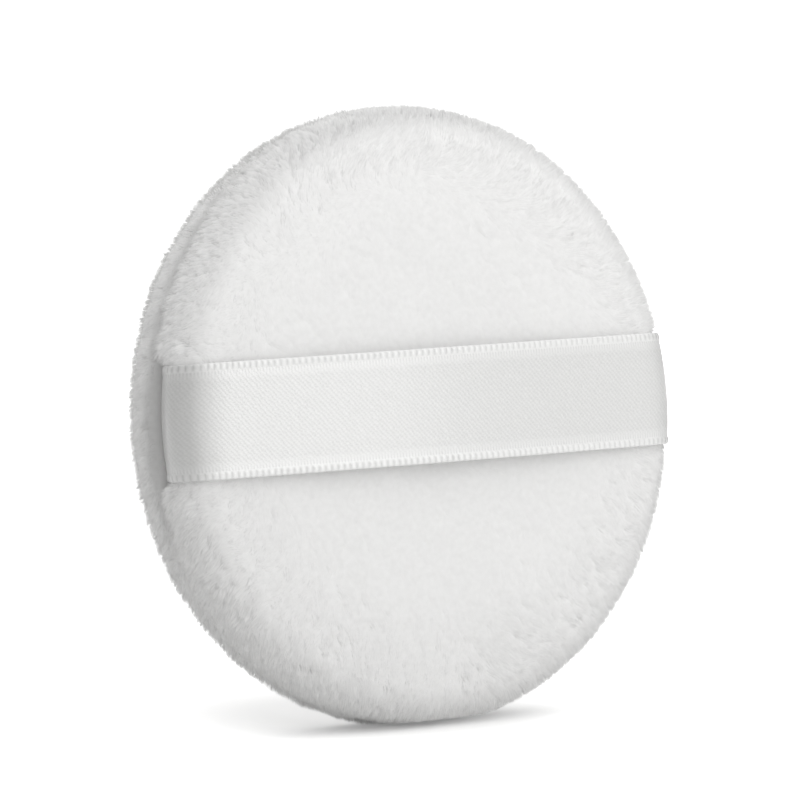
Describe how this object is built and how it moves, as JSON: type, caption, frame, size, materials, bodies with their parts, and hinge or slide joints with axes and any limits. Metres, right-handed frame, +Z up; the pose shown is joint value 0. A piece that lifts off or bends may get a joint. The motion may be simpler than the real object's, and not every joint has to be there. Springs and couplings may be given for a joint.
{
  "type": "powder puff",
  "caption": "Round plush powder puff with a sponge core, a sewn rim seam and a satin ribbon band across its face to slip the fingers under.",
  "frame": {"origin": "on the surface that the puff stands on, under the middle of its box", "axes": "+Z up, the ribbon runs along X, and the puff's round axis lies along Y with the ribbon face towards -Y"},
  "size_m": [0.0814, 0.019, 0.0795],
  "materials": {
    "plush": "matte",
    "satin": "satin",
    "sponge": "matte",
    "thread": "satin"
  },
  "bodies": {
    "pad": {"front_plush_panel": "plush", "back_plush_panel": "plush", "sponge_core": "sponge", "seam_needle_thread": "thread", "seam_bobbin_thread": "thread", "closing_thread": "thread"},
    "ribbon": {"satin_ribbon": "satin"}
  },
  "joints": [
    {"name": "ribbon_lift", "type": "slide", "parent": "pad", "child": "ribbon", "axis": [0, -1, 0], "range_m": [0, 0.01], "stiffness_N_per_m": 20, "deforming": ["satin_ribbon"]}
  ]
}
